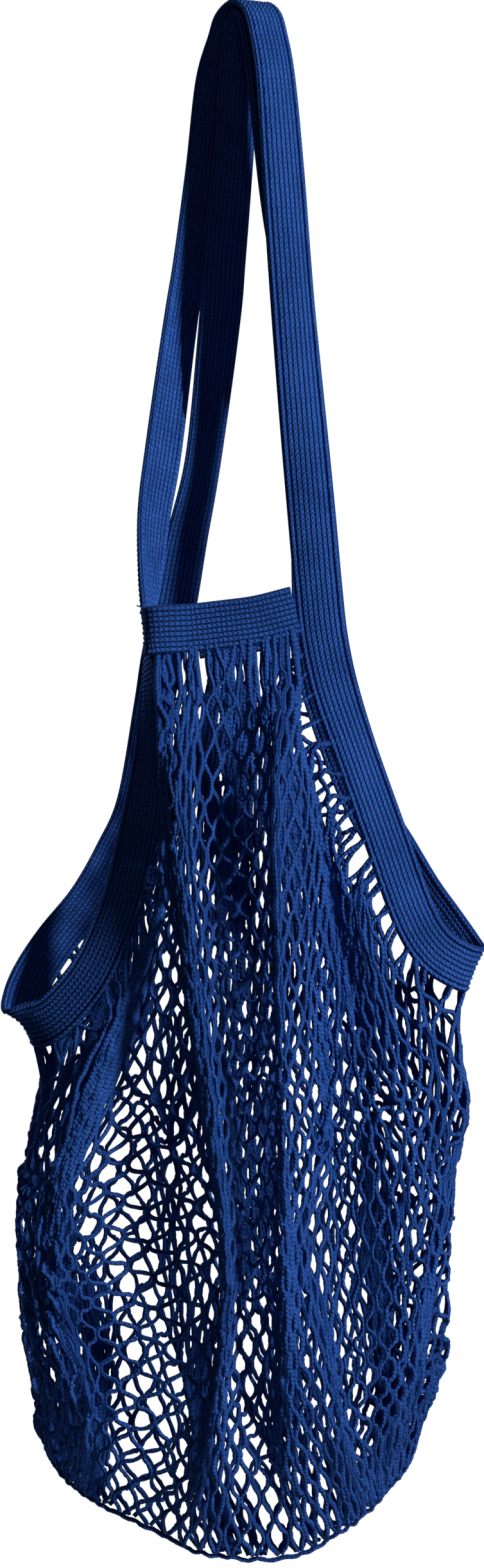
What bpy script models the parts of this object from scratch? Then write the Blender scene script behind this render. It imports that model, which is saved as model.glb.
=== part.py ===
"""Net shopping bag of knitted cotton, hanging by its two long tape handles.

Lengths in the tables below are millimetres, and the solids are made in metres. The origin is the place
where the handles hang: the underside of the inner handle's crown. Z points up, and the front of the bag
faces -Y. One closed ring of ribbed tape makes both handles and both side scoops. Two short bands of the
same tape close the mouth at the front and at the back, and the net hangs from all three.
"""

import math

import bmesh
import bpy
import numpy as np

MM = 0.001

# Tape, bands and net
TAPE_WIDTH = 25.0
TAPE_THICKNESS = 3.0
TAPE_RIBS = 4
RIB_DEPTH = 0.35
SEAM_GAP = 0.6
NET_THICKNESS = 2.6
NET_COLUMNS = 20
NET_ROWS = 6
STRANDS_PER_CELL = 3
RIM_SHARE = 0.008
HEM_LENGTH = 12.0
HEM_SHARE = 0.04
BOTTOM_FOLD = 6.0
LEFT_COLUMN = 51.0

# How finely a tape is cut along its length: one station for each of these
TAPE_STEP = 34.0
TAPE_BEND = math.radians(30.0)

# The ring's centre line, and the direction from the edge that the net hangs from to the free edge
RING = [
    ((-1.0, 0.0, 5.6), (0.80, 0.60, 0.0)),
    ((-8.2, 9.0, 0.0), (0.80, 0.60, 0.0)),
    ((-12.0, 13.0, -11.0), (0.80, 0.60, 0.0)),
    ((-18.5, 16.0, -34.0), (0.80, 0.60, 0.0)),
    ((-24.0, 17.0, -79.0), (0.76, 0.65, 0.0)),
    ((-31.0, 15.0, -126.0), (0.68, 0.73, 0.0)),
    ((-36.3, 11.0, -159.0), (0.66, 0.75, 0.0)),
    ((-45.0, -3.0, -226.0), (0.72, 0.69, 0.0)),
    ((-49.7, -10.0, -259.0), (0.64, 0.77, 0.0)),
    ((-51.5, -15.0, -289.0), (0.45, 0.89, 0.0)),
    ((-52.7, -18.0, -312.0), (0.15, 0.99, 0.0)),
    ((-51.8, -19.5, -334.0), (-0.15, 0.99, 0.0)),
    ((-50.7, -22.0, -352.0), (-0.45, 0.89, 0.0)),
    ((-50.3, -24.0, -376.0), (-0.68, 0.73, 0.0)),
    ((-52.8, -26.0, -397.0), (-0.80, 0.58, 0.10)),
    ((-57.0, -26.0, -422.0), (-0.92, 0.36, 0.15)),
    ((-63.7, -25.0, -452.0), (-0.93, 0.30, 0.20)),
    ((-72.0, -23.0, -476.0), (-0.88, 0.25, 0.38)),
    ((-83.3, -21.0, -499.0), (-0.78, 0.20, 0.60)),
    ((-100.0, -15.0, -518.5), (-0.48, 0.12, 0.87)),
    ((-111.5, -8.0, -524.5), (-0.48, 0.05, 0.87)),
    ((-118.5, 0.0, -523.0), (-0.68, 0.00, 0.73)),
    ((-118.0, 7.0, -514.0), (-0.75, -0.20, 0.60)),
    ((-113.3, 12.0, -500.0), (-0.75, -0.45, 0.45)),
    ((-101.7, 18.0, -481.7), (-0.72, -0.50, 0.40)),
    ((-84.7, 22.0, -460.0), (-0.70, -0.55, 0.35)),
    ((-71.3, 24.0, -435.7), (-0.68, -0.60, 0.30)),
    ((-60.0, 25.0, -409.0), (-0.70, -0.62, 0.20)),
    ((-50.5, 26.0, -359.0), (-0.80, -0.55, 0.10)),
    ((-46.0, 26.0, -332.0), (-0.86, -0.50, 0.0)),
    ((-39.7, 26.0, -307.0), (-0.90, -0.42, 0.0)),
    ((-33.3, 22.0, -272.0), (-0.87, -0.49, 0.0)),
    ((-25.3, 15.0, -228.7), (-0.85, -0.52, 0.0)),
    ((-16.7, 9.0, -159.0), (-0.91, -0.42, 0.0)),
    ((-13.7, 9.0, -126.0), (-0.91, -0.42, 0.0)),
    ((-8.5, 10.0, -70.7), (-0.82, -0.57, 0.0)),
    ((-6.3, 9.0, -34.0), (-0.80, -0.60, 0.0)),
    ((-3.8, 5.5, -9.5), (-0.80, -0.60, 0.0)),
    ((0.5, 0.0, 1.5), (-0.80, -0.60, 0.0)),
    ((4.8, -5.5, -9.5), (-0.80, -0.60, 0.0)),
    ((8.3, -9.0, -36.0), (-0.80, -0.60, 0.0)),
    ((12.0, -9.5, -70.7), (-0.80, -0.60, 0.0)),
    ((16.0, -7.0, -110.0), (-0.70, -0.71, 0.0)),
    ((22.0, -2.0, -160.0), (-0.35, -0.94, 0.0)),
    ((27.0, 5.0, -210.0), (0.20, -0.98, 0.0)),
    ((30.0, 14.0, -255.0), (0.60, -0.80, 0.0)),
    ((32.0, 22.0, -290.0), (0.83, -0.56, 0.0)),
    ((34.0, 25.0, -318.0), (0.90, -0.42, 0.0)),
    ((38.0, 26.0, -350.0), (0.88, -0.42, 0.15)),
    ((56.7, 25.0, -402.0), (0.83, -0.40, 0.35)),
    ((76.0, 22.0, -435.0), (0.80, -0.35, 0.50)),
    ((88.5, 19.0, -456.0), (0.80, -0.35, 0.52)),
    ((99.0, 16.0, -471.0), (0.78, -0.32, 0.55)),
    ((110.0, 9.5, -487.0), (0.60, -0.15, 0.80)),
    ((115.5, 0.0, -495.0), (0.38, 0.00, 0.92)),
    ((109.0, -9.0, -494.0), (0.37, 0.08, 0.93)),
    ((95.0, -15.5, -484.5), (0.58, 0.18, 0.79)),
    ((83.7, -19.0, -465.7), (0.80, 0.30, 0.50)),
    ((69.2, -23.0, -425.7), (0.87, 0.35, 0.33)),
    ((53.3, -26.0, -381.0), (0.88, 0.36, 0.30)),
    ((43.5, -27.0, -351.0), (0.88, 0.38, 0.22)),
    ((38.0, -27.0, -325.7), (0.91, 0.38, 0.10)),
    ((35.0, -27.0, -300.0), (0.92, 0.38, 0.0)),
    ((31.3, -27.0, -259.0), (0.92, 0.38, 0.0)),
    ((22.3, -24.0, -159.0), (0.92, 0.38, 0.0)),
    ((16.8, -20.0, -84.0), (0.88, 0.45, 0.0)),
    ((12.8, -16.5, -34.0), (0.82, 0.57, 0.0)),
    ((8.8, -12.5, -10.0), (0.80, 0.60, 0.0)),
    ((5.4, -8.2, 1.0), (0.80, 0.60, 0.0)),
]

# Places in the ring's list where its net edge passes from one border of the net to the next
FRONT_LEFT = 11.25
LEFT_TIP = 21.0
BACK_LEFT = 28.8
BACK_RIGHT = 47.4
RIGHT_TIP = 54.0
FRONT_RIGHT = 60.95

# Centre lines of the two mouth bands, from left to right as seen from the front
FRONT_BAND = [
    (-53.6, -33.4, -321.5),
    (-29.3, -35.0, -319.5),
    (-14.7, -35.4, -317.8),
    (2.7, -35.2, -315.5),
    (23.2, -33.4, -310.4),
]
BACK_BAND = [
    (-27.9, 33.4, -321.5),
    (-12.0, 34.4, -319.6),
    (6.0, 34.0, -317.4),
    (19.8, 33.0, -315.0),
]

# The border of the net is shared out in columns: where each stretch of it starts
COLUMNS_AROUND = 60
BORDER_COLUMNS = (0.0, 12.0, 21.0, 30.0, 42.0, 51.0, 60.0)

# Share of the way down from the border to the bottom at which each guide's points lie
LEVELS = (0.15, 0.32, 0.50, 0.68, 0.85)

# How the net hangs: for some of the columns, the place of the strand at each level
GUIDES = {
    0.0: ((-41, -35, -405), (-43, -39, -484), (-40, -41, -567), (-35, -39, -650), (-46, -36, -728)),
    2.0: ((-34, -46, -405), (-32, -53, -486), (-27, -55, -569), (-21, -54, -653), (-28, -42, -734)),
    4.0: ((-22, -43, -405), (-20, -49, -486), (-14, -52, -570), (-11, -51, -654), (-12, -42, -735)),
    6.0: ((-13, -30, -404), (-9, -23, -485), (-5, -20, -569), (-3, -27, -653), (0, -38, -734)),
    7.5: ((-3, -26, -403), (1, -20, -484), (3, -19, -568), (5, -27, -652), (8, -38, -733)),
    9.0: ((7, -42, -403), (9, -46, -484), (11, -47, -567), (13, -45, -651), (20, -41, -731)),
    11.0: ((15, -47, -402), (19, -53, -482), (22, -54, -565), (26, -48, -647), (36, -40, -725)),
    13.5: ((28, -26, -425), (33, -24, -500), (39, -28, -580), (45, -36, -658), (51, -38, -726)),
    15.5: ((44, -20, -470), (54, -24, -530), (60, -32, -595), (63, -38, -665), (66, -34, -722)),
    18.0: ((70, -24, -525), (80, -32, -570), (85, -36, -620), (85, -35, -672), (83, -24, -716)),
    21.0: ((113, -2, -562), (107, -2, -592), (104, -1, -630), (103, 0, -662), (100, 0, -690)),
    24.0: ((72, 30, -520), (82, 36, -568), (86, 38, -620), (85, 35, -672), (83, 22, -716)),
    27.5: ((34, 38, -440), (46, 42, -505), (52, 46, -580), (52, 45, -655), (58, 31, -724)),
    30.0: ((20, 36, -402), (26, 40, -482), (32, 44, -565), (34, 46, -648), (40, 33, -728)),
    33.0: ((8, 34, -404), (10, 38, -485), (14, 42, -569), (14, 45, -653), (18, 33, -735)),
    36.0: ((-6, 34, -404), (-6, 39, -485), (-6, 43, -569), (-6, 45, -653), (-4, 33, -736)),
    39.0: ((-16, 35, -404), (-20, 40, -485), (-24, 44, -569), (-24, 46, -653), (-25, 33, -735)),
    42.0: ((-30, 34, -403), (-38, 40, -484), (-44, 44, -567), (-46, 45, -650), (-47, 33, -728)),
    44.5: ((-50, 32, -440), (-62, 38, -505), (-70, 42, -580), (-72, 40, -655), (-71, 27, -722)),
    48.0: ((-84, 26, -520), (-94, 32, -572), (-99, 34, -628), (-99, 31, -682), (-97, 19, -726)),
    51.0: ((-113, 0, -575), (-118, 0, -610), (-120, 0, -648), (-118, 0, -684), (-113, 0, -712)),
    54.0: ((-80, -27, -546), (-92, -31, -589), (-100, -34, -635), (-101, -33, -681), (-97, -21, -726)),
    56.5: ((-52, -26, -502), (-64, -22, -557), (-76, -30, -615), (-81, -35, -672), (-81, -31, -726)),
    58.5: ((-42, -26, -462), (-48, -14, -526), (-55, -14, -594), (-60, -26, -662), (-65, -35, -726)),
}

# Where the front and the back meet along the bottom: places across and heights, by the columns counted
# from the left tip to the right tip
BOTTOM = {
    0.0: (-108, -733),
    1.5: (-104, -749),
    3.0: (-96, -760),
    5.5: (-79, -773),
    7.5: (-63, -781),
    9.0: (-50, -787),
    11.0: (-31, -797),
    13.0: (-12, -801),
    15.0: (5, -802),
    18.0: (30, -798),
    20.0: (45, -789),
    22.5: (61, -777),
    24.5: (72, -765),
    27.0: (83, -750),
    28.5: (88, -734),
    30.0: (95, -707),
}


def unit(v):
    """The vectors along the last axis at length 1."""
    return v / np.maximum(np.linalg.norm(v, axis=-1, keepdims=True), 1e-9)


def hermite(knots, values, at):
    """A smooth curve through values at increasing knots, read at the places in at."""
    knots = np.asarray(knots, float)
    values = np.asarray(values, float)
    step = np.diff(knots)[:, None]
    slope = np.diff(values, axis=0) / step
    tangent = np.empty_like(values)
    tangent[0] = slope[0]
    tangent[-1] = slope[-1]
    weight = step[1:] / (step[1:] + step[:-1])
    tangent[1:-1] = weight * slope[:-1] + (1.0 - weight) * slope[1:]
    i = np.clip(np.searchsorted(knots, at, side="right") - 1, 0, len(knots) - 2)
    h = step[i]
    s = ((at - knots[i]) / step[i, 0])[:, None]
    return (
        values[i] * (1 + 2 * s) * (1 - s) ** 2
        + tangent[i] * h * s * (1 - s) ** 2
        + values[i + 1] * s * s * (3 - 2 * s)
        - tangent[i + 1] * h * s * s * (1 - s)
    )


def around(knots, values, period, at):
    """A smooth closed curve through values at knots, which repeats after period."""
    knots = np.asarray(knots, float)
    values = np.asarray(values, float)
    turns = (-period, 0.0, period)
    return hermite(
        np.concatenate([knots + turn for turn in turns]),
        np.concatenate([values] * 3),
        np.mod(at, period),
    )


def ring_at(places):
    """Centre, direction along the tape and direction to the free edge, at places in the ring's list."""
    places = np.asarray(places, float)
    count = len(RING)
    index = np.arange(count)
    centres = np.array([centre for centre, _ in RING])
    widths = np.array([width for _, width in RING])
    centre = around(index, centres, count, places)
    ahead = around(index, centres, count, places + 0.01)
    behind = around(index, centres, count, places - 0.01)
    along = unit(ahead - behind)
    across = around(index, widths, count, places)
    across = unit(across - along * (along * across).sum(axis=1, keepdims=True))
    return centre, along, across


def band_at(centres, shares):
    """Centre, direction along and direction up of a mouth band, at shares of its length."""
    centres = np.array(centres)
    run = np.concatenate([[0.0], np.cumsum(np.linalg.norm(np.diff(centres, axis=0), axis=1))])
    run /= run[-1]
    shares = np.asarray(shares, float)
    centre = hermite(run, centres, shares)
    along = unit(hermite(run, centres, shares + 0.01) - hermite(run, centres, shares - 0.01))
    up = np.array([0.0, 0.0, 1.0]) - along * along[:, 2:3]
    return centre, along, unit(up)


def tape_profile():
    """Outline of the ribbed tape's section, as shares across its width and heights off its middle."""
    ribs = 2 * TAPE_RIBS + 1
    across = np.linspace(-0.5, 0.5, ribs + 2)[1:-1] * TAPE_WIDTH * 0.96
    height = np.where(np.arange(ribs) % 2 == 0, TAPE_THICKNESS / 2, TAPE_THICKNESS / 2 - RIB_DEPTH)
    edge = np.array([[TAPE_WIDTH / 2, 0.0]])
    face = np.stack([across, height], axis=1)
    back = np.stack([across[::-1], -height], axis=1)
    return np.concatenate([face, edge, back, -edge])


def spaced_places(start, end):
    """Places along the ring, closer together where the tape bends or turns."""
    fine = np.linspace(start, end, int((end - start) * 24) + 1)
    centre, along, across = ring_at(fine)
    length = np.linalg.norm(np.diff(centre, axis=0), axis=1)
    bend = np.arccos(np.clip((along[1:] * along[:-1]).sum(axis=1), -1.0, 1.0))
    turn = np.arccos(np.clip((across[1:] * across[:-1]).sum(axis=1), -1.0, 1.0))
    effort = np.concatenate([[0.0], np.cumsum(length / TAPE_STEP + bend / TAPE_BEND + turn / TAPE_BEND)])
    count = int(math.ceil(effort[-1]))
    return np.interp(np.linspace(0.0, effort[-1], count + 1), effort, fine)


def tape_mesh(centre, along, across, closed):
    """A ribbed tape through stations: its vertices in millimetres and its faces."""
    outward = np.cross(across, along)
    profile = tape_profile()
    points = (
        centre[:, None, :]
        + across[:, None, :] * profile[None, :, 0, None]
        + outward[:, None, :] * profile[None, :, 1, None]
    )
    stations, sides = points.shape[:2]
    faces = []
    for i in range(stations if closed else stations - 1):
        here = i * sides
        there = (i + 1) % stations * sides
        for j in range(sides):
            k = (j + 1) % sides
            faces.append((here + j, here + k, there + k, there + j))
    if not closed:
        faces.append(tuple(range(sides))[::-1])
        faces.append(tuple((stations - 1) * sides + j for j in range(sides)))
    return points.reshape(-1, 3), faces


def border_at(columns):
    """The net's upper border, just clear of the bands and the ring, and the way that the net leaves it."""
    columns = np.mod(np.asarray(columns, float), COLUMNS_AROUND)
    reach = TAPE_WIDTH / 2 + SEAM_GAP + NET_THICKNESS / 2
    stretches = (
        ("band", FRONT_BAND, 0.03, 0.97),
        ("ring", None, FRONT_RIGHT, RIGHT_TIP),
        ("ring", None, RIGHT_TIP, BACK_RIGHT),
        ("band", BACK_BAND, 0.97, 0.03),
        ("ring", None, BACK_LEFT, LEFT_TIP),
        ("ring", None, LEFT_TIP, FRONT_LEFT),
    )
    points = np.empty((len(columns), 3))
    leaving = np.empty((len(columns), 3))
    for (kind, band, start, end), low, high in zip(stretches, BORDER_COLUMNS, BORDER_COLUMNS[1:]):
        inside = (columns >= low) & (columns < high)
        share = (columns[inside] - low) / (high - low)
        if kind == "band":
            centre, _, across = band_at(band, start + (end - start) * share)
        else:
            fine = np.linspace(start, end, 200)
            path = ring_at(fine)[0]
            run = np.concatenate([[0.0], np.cumsum(np.linalg.norm(np.diff(path, axis=0), axis=1))])
            centre, _, across = ring_at(np.interp(share * run[-1], run, fine))
        points[inside] = centre - across * reach
        leaving[inside] = -across
    return points, leaving


def bottom_at(columns):
    """The net's bottom, where a front column and a back column end at the same place, a fold apart."""
    from_left = np.mod(np.asarray(columns, float) - LEFT_COLUMN, COLUMNS_AROUND)
    half = COLUMNS_AROUND / 2
    at = np.minimum(from_left, COLUMNS_AROUND - from_left)
    place = hermite(sorted(BOTTOM), [BOTTOM[k] for k in sorted(BOTTOM)], at)
    side = np.sign(from_left - half) * np.minimum(np.minimum(at, half - at) / 2.0, 1.0)
    return np.stack([place[:, 0], side * BOTTOM_FOLD / 2, place[:, 1]], axis=1)


def net_at(columns, shares):
    """Points of the net's middle surface, for pairs of a column and a share of the way down."""
    columns = np.asarray(columns, float)
    knots = sorted(GUIDES)
    table = np.array([GUIDES[k] for k in knots], float)
    border, leaving = border_at(columns)
    stations = [border, border + leaving * HEM_LENGTH]
    for level in range(len(LEVELS)):
        stations.append(around(knots, table[:, level], COLUMNS_AROUND, columns))
    stations.append(bottom_at(columns))
    stations = np.stack(stations)
    runs = np.array((0.0, HEM_SHARE) + LEVELS + (1.0,))
    points = np.empty((len(columns), 3))
    for i in range(len(columns)):
        points[i] = hermite(runs, stations[:, i], np.array([shares[i]]))[0]
    return points


def net_lattice():
    """Diamond lattice on the net's surface, with a plain rim at the border and a closed fold along the bottom."""
    half_columns = 2 * STRANDS_PER_CELL * NET_COLUMNS
    half_rows = 2 * STRANDS_PER_CELL * NET_ROWS
    index = {}
    columns = []
    shares = []
    for row in range(-1, half_rows + 2):
        start = 0 if row in (-1, half_rows + 1) else row % 2
        share = np.clip(RIM_SHARE + (1.0 - 2.0 * RIM_SHARE) * row / half_rows, 0.0, 1.0)
        for step in range(start, half_columns, 2):
            index[step, row] = len(columns)
            columns.append(step / half_columns * COLUMNS_AROUND)
            shares.append(share if 0 <= row <= half_rows else float(row > 0))

    def corner(step, row):
        return index[step % half_columns, row]

    faces = []
    for row, rim in ((0, -1), (half_rows, half_rows + 1)):
        for step in range(0, half_columns, 2):
            faces.append((corner(step, rim), corner(step, row), corner(step + 2, row), corner(step + 2, rim)))
        for step in range(1, half_columns, 2):
            inner = corner(step, 1 if row == 0 else row - 1)
            faces.append((corner(step - 1, row), inner, corner(step + 1, row)))
    for row in range(1, half_rows):
        for step in range((row + 1) % 2, half_columns, 2):
            rising = (step + row - 1) // 2 % STRANDS_PER_CELL == 0
            falling = (step - row - 1) // 2 % STRANDS_PER_CELL == 0
            if rising or falling:
                below = corner(step, row + 1)
                above = corner(step, row - 1)
                faces.append((corner(step - 1, row), below, corner(step + 1, row), above))
    last = half_rows + 1
    left = round(LEFT_COLUMN / COLUMNS_AROUND * half_columns)
    for step in range(0, half_columns // 2, 2):
        strip = (
            corner(left + step, last),
            corner(left + step + 2, last),
            corner(left - step - 2, last),
            corner(left - step, last),
        )
        faces.append(tuple(dict.fromkeys(strip)))
    return net_at(columns, shares), faces


def make_object(name, points, faces, material):
    """One closed mesh object, with its faces pointing outwards."""
    mesh = bpy.data.meshes.new(name)
    mesh.from_pydata([tuple(point * MM) for point in points], [], faces)
    work = bmesh.new()
    work.from_mesh(mesh)
    bmesh.ops.recalc_face_normals(work, faces=work.faces)
    work.to_mesh(mesh)
    work.free()
    mesh.materials.append(material)
    made = bpy.data.objects.new(name, mesh)
    bpy.context.collection.objects.link(made)
    return made


def cotton(name, colour, roughness):
    """A plain dyed cotton material."""
    material = bpy.data.materials.new(name)
    material.use_nodes = True
    shader = material.node_tree.nodes["Principled BSDF"]
    shader.inputs["Base Color"].default_value = (*colour, 1.0)
    shader.inputs["Roughness"].default_value = roughness
    return material


def add_handle_tape(material):
    places = spaced_places(0.0, float(len(RING)))[:-1]
    points, faces = tape_mesh(*ring_at(places), closed=True)
    return make_object("handle_tape", points, faces, material)


def add_mouth_band(name, centres, stations, material):
    points, faces = tape_mesh(*band_at(centres, np.linspace(0.0, 1.0, stations)), closed=False)
    return make_object(name, points, faces, material)


def add_net_body(material):
    points, faces = net_lattice()
    net = make_object("net_body", points, faces, material)
    wall = net.modifiers.new("wall", "SOLIDIFY")
    wall.thickness = NET_THICKNESS * MM
    wall.offset = 0.0
    wall.use_even_offset = False
    return net


def main():
    for old in list(bpy.data.objects):
        bpy.data.objects.remove(old)
    tape = cotton("ribbed_tape", (0.012, 0.070, 0.300), 0.9)
    cord = cotton("net_cord", (0.014, 0.080, 0.340), 0.9)
    add_handle_tape(tape)
    add_mouth_band("front_mouth_band", FRONT_BAND, 9, tape)
    add_mouth_band("back_mouth_band", BACK_BAND, 7, tape)
    add_net_body(cord)


main()
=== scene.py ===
"""The looks of the hanging net shopping bag: knitted tape, knotted net, seams and light.

Lengths in the tables are millimetres, as in the part's own source, and pieces are made in metres. The
origin is where the handles hang, Z points up, and the front of the bag faces -Y.
"""

import math

import bmesh
import bpy
import numpy as np
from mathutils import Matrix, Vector


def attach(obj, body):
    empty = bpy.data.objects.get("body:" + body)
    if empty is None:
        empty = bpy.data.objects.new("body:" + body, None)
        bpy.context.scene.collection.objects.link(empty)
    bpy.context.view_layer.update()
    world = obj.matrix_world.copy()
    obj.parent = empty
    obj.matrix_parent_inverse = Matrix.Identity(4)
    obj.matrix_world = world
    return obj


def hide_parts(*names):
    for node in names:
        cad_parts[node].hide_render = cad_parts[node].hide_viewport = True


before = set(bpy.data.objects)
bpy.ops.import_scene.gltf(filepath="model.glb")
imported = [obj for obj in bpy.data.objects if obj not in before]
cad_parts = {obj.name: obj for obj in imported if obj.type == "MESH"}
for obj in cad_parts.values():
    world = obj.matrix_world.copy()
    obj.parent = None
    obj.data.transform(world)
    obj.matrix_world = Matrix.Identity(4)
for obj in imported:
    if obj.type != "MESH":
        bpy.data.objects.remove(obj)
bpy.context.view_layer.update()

MM = 0.001

# The view: the photo's height in pixels, and the size of a pixel at the bag
PHOTO_HEIGHT = 2444
PIXEL = MM / 3.0
CAMERA_DISTANCE = 3.0
SENSOR = 36.0
VIEW_CENTRE_X = -4.33 * MM
VIEW_CENTRE_Z = -399.7 * MM

# Lamps: where they aim, and each one's name, place and size in metres, power in watts and colour
LAMP_AIM = (0.0, 0.0, -0.4)
LAMPS = (
    ("key_lamp", (2.18, -1.76, 0.5), 0.4, 80.0, (1.0, 0.98, 0.95)),
    ("front_lamp", (0.2, -2.7, 0.9), 0.8, 3.0, (0.7, 0.85, 1.0)),
    ("back_lamp", (-1.7, 2.4, 0.6), 0.8, 40.0, (1.0, 1.0, 1.0)),
)

# Light that reaches the bag from the white room, as a share of the room's own brightness
AMBIENT = 0.012

# The pale floor, well below the hanging bag
FLOOR_RADIUS = 0.5
FLOOR_HEIGHT = -1.3
FLOOR_SIDES = 96
FLOOR_COLOUR = (0.9, 0.9, 0.9, 1.0)
FLOOR_ROUGHNESS = 0.8

# Tape: how its section is shaped, and how its loops stand out
TAPE_WIDTH = 25.0
TAPE_THICKNESS = 3.0
TAPE_WALES = 9
WALE_RELIEF = 0.7
LOOP_RELIEF = 0.2
LOOP_LENGTH = 2.6
SEAM_GAP = 0.6
HEM_GROOVE = 0.5
BAND_GROOVE = 0.2
EDGE_ROLL = 0.35
EDGE_INSET = 0.6
EDGE_SHARE = 0.36
BAND_INSET = 0.03

# Net: its columns of knots, and where they lie among the columns that the guides count
NET_COLUMNS = 76
NET_PLACES = (0.0, 5.0, 7.5, 12.0, 16.5, 25.0, 35.0, 38.0, 50.0, 53.0, 63.0, 73.5, 76.0)
GUIDE_PLACES = (0.0, 4.4, 8.2, 12.0, 15.2, 21.0, 26.8, 30.0, 42.0, 45.2, 51.0, 57.2, 60.0)
HALF_ROWS = 46
TRIM = 0.85
NET_THICKNESS = 2.6
HEM_LENGTH = 4.0
HEM_SHARE = 0.013
BOTTOM_FOLD = 2.0
LEFT_COLUMN = 51.0
SEED = 7

# Net: how far its columns bunch and its rows drift, in columns and half rows, and over how many they do
BUNCHING = 1.1
BUNCH_SPREAD = (8.0, 6.0)
BUNCH_FADE = 7.0
BUNCH_TOP = 0.6
BUNCH_GROWTH = 0.9
PLEAT_COLUMNS = 13
PLEAT_CALM = 0.45
ROW_DRIFT = 0.8
ROW_SPREAD = (4.0, 5.0)
ROW_FADE = 4.0
BOTTOM_FADE = 5.0

# Net: small groups of strands at the tapes, and the slits that hang under the mouth bands
CLUMP_PERIOD = 5.3
CLUMPING = 0.85
CLUMP_FADE = 6.0
CLUMP_BEAT = 3.1
CLUMP_SWAY = 1.5
BORDER_JITTER = 0.3
FIRST_KNOT = 0.4
SLIT_ROWS = 2.2
TUCK = 3.0

# Net: the pull of its cords on its knots
UNEVENNESS = np.array([1.0, 2.0, 0.9])
BOTTOM_UNEVENNESS = 0.8
LOW_HEIGHT = -600.0
LOW_BLEND = 150.0
CORD_SHORTEST = 8.6
CORD_LONGEST = 12.6
CORD_VARIATION = 0.07
RELAX_STEPS = 90
RELAX_PULL = 1.2
HOLD = 0.06

# Net: its cords and knots
CORD_DIAMETER = 2.5
CORD_PLUMPING = 0.45
CORD_BEND = 0.55
BUNCH_GAP = 4.4
BUNCH_RANGE = 2.0
TOP_PLUMPING = 0.05
TOP_FADE = 5.0
CORD_WOBBLE = 0.1
CORD_LUMPS = 0.07
CORD_LOOP = 2.4
KNOT_LENGTH = 4.2
KNOT_SPREAD = 0.9
KNOT_ROOM = 0.3
BOTTOM_SLACK = (0.2, 1.4)
RINGS_PER_ROW = 8
BEVEL_STEPS = 1
STRANDS_PER_PIECE = 39

# Cotton: painted shade in the deepest gaps between loops keeps this share of the dye's red, green and blue
PAINTED_GAP_SHADE = (0.03, 0.05, 0.12)
TAPE_COLOUR = (0.040, 0.150, 0.600)
CORD_COLOUR = (0.031, 0.118, 0.490)
ROUGHNESS = 0.92
SPECULAR = 0.02
SHEEN = 0.08
SHEEN_ROUGHNESS = 0.45
SHEEN_TINT = (0.28, 0.36, 1.0, 1.0)

# Cotton: scale and detail of each noise, how far the loops waver across and along, and how uneven the dye is
FIBRE_NOISE = (1500.0, 3.0)
WAVER_NOISE = (330.0, 2.0)
DYE_NOISE = (45.0, 4.0)
WAVER_SHIFT = (0.3, 0.9)
DYE_GAIN = 1.2
DYE_LEAST = 0.4
FIBRE_RELIEF = 0.5
WALE_STEEPNESS = 2.4
WALE_SOFTNESS = 0.6
# Hems: how narrow the painted shade in each hem groove is, how far the stitches swing it, and its level
HEM_STEEPNESS = 3.2
STITCH_SWING = 0.16
HEM_SHADE = 0.22

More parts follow.
